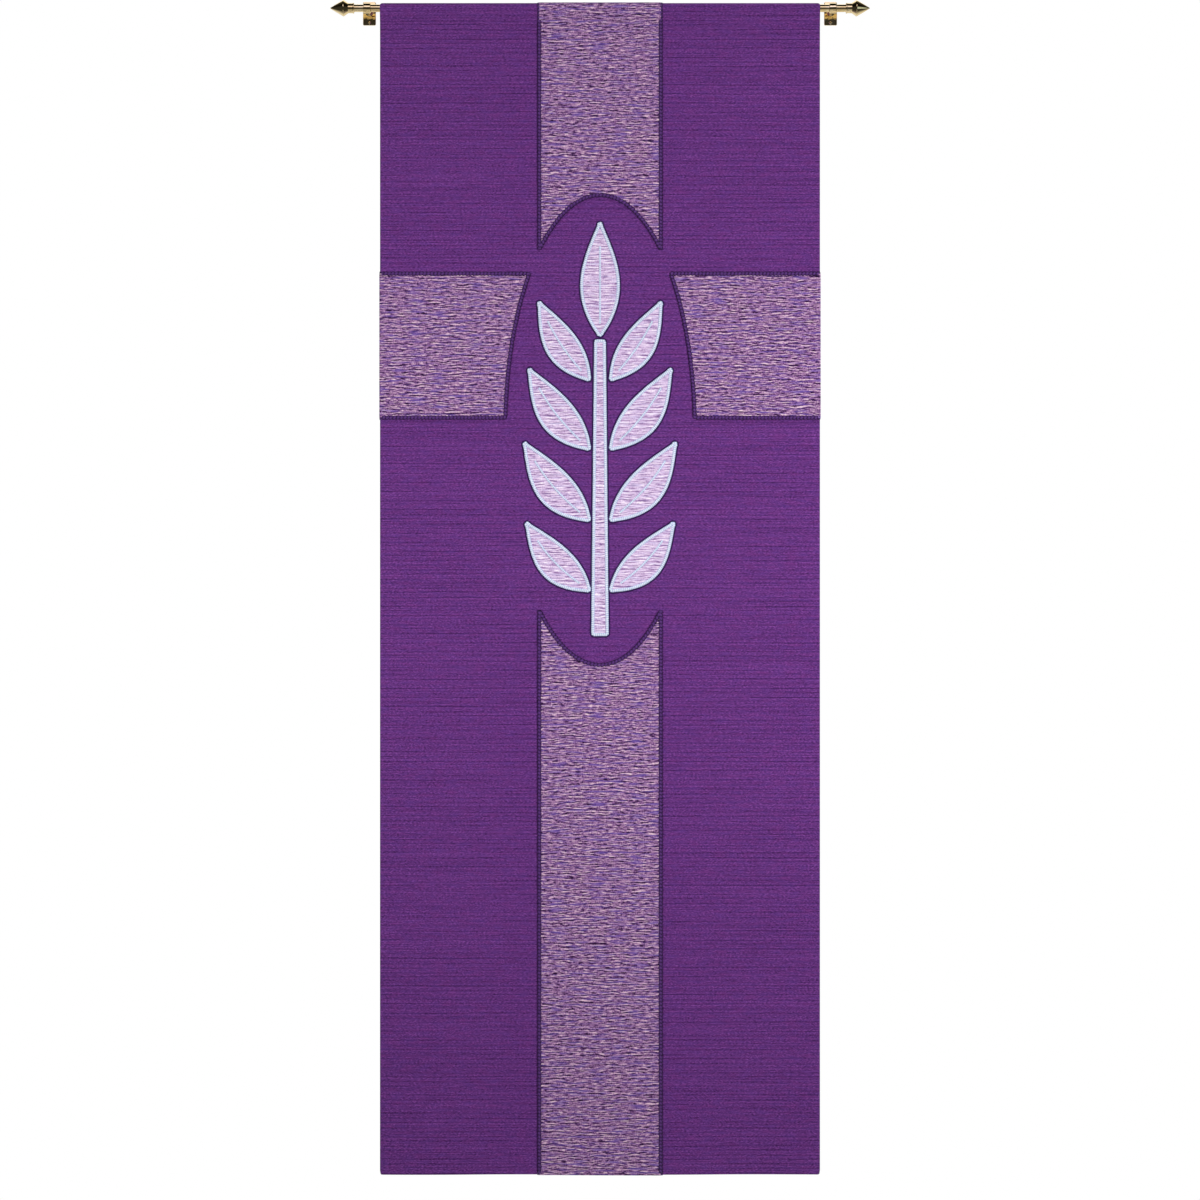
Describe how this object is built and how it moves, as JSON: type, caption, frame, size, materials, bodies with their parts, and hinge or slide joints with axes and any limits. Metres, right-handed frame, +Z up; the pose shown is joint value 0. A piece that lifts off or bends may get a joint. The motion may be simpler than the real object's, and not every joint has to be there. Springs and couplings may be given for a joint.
{
  "type": "banner on a brass wall rod",
  "caption": "Tall hanging banner of ribbed purple cloth with a sewn-on lavender cross and a pale leaf sprig, on a brass rod with spear finials and wall brackets.",
  "frame": {"origin": "middle of the whole part's box", "axes": "+X along the rod to the right as seen from the front, +Y to the back towards the bracket plates, +Z up"},
  "size_m": [1.122, 0.062, 2.4454],
  "materials": {
    "purple_cloth": "matt ribbed weave",
    "lavender_cloth": "slub weave with a low sheen",
    "pale_cloth": "slub weave with a low sheen",
    "brass": "polished"
  },
  "bodies": {
    "root": {"banner_cloth": "purple_cloth", "cross_arm_top": "lavender_cloth", "cross_arm_foot": "lavender_cloth", "cross_arm_left": "lavender_cloth", "cross_arm_right": "lavender_cloth", "sprig_stem": "pale_cloth", "leaf_tip": "pale_cloth", "leaf_left_1": "pale_cloth", "leaf_left_2": "pale_cloth", "leaf_left_3": "pale_cloth", "leaf_left_4": "pale_cloth", "leaf_right_1": "pale_cloth", "leaf_right_2": "pale_cloth", "leaf_right_3": "pale_cloth", "leaf_right_4": "pale_cloth", "rod": "brass", "finial_left": "brass", "finial_right": "brass", "bracket_left": "brass", "bracket_right": "brass", "screw_left_top": "brass", "screw_left_foot": "brass", "screw_right_top": "brass", "screw_right_foot": "brass"}
  },
  "joints": []
}
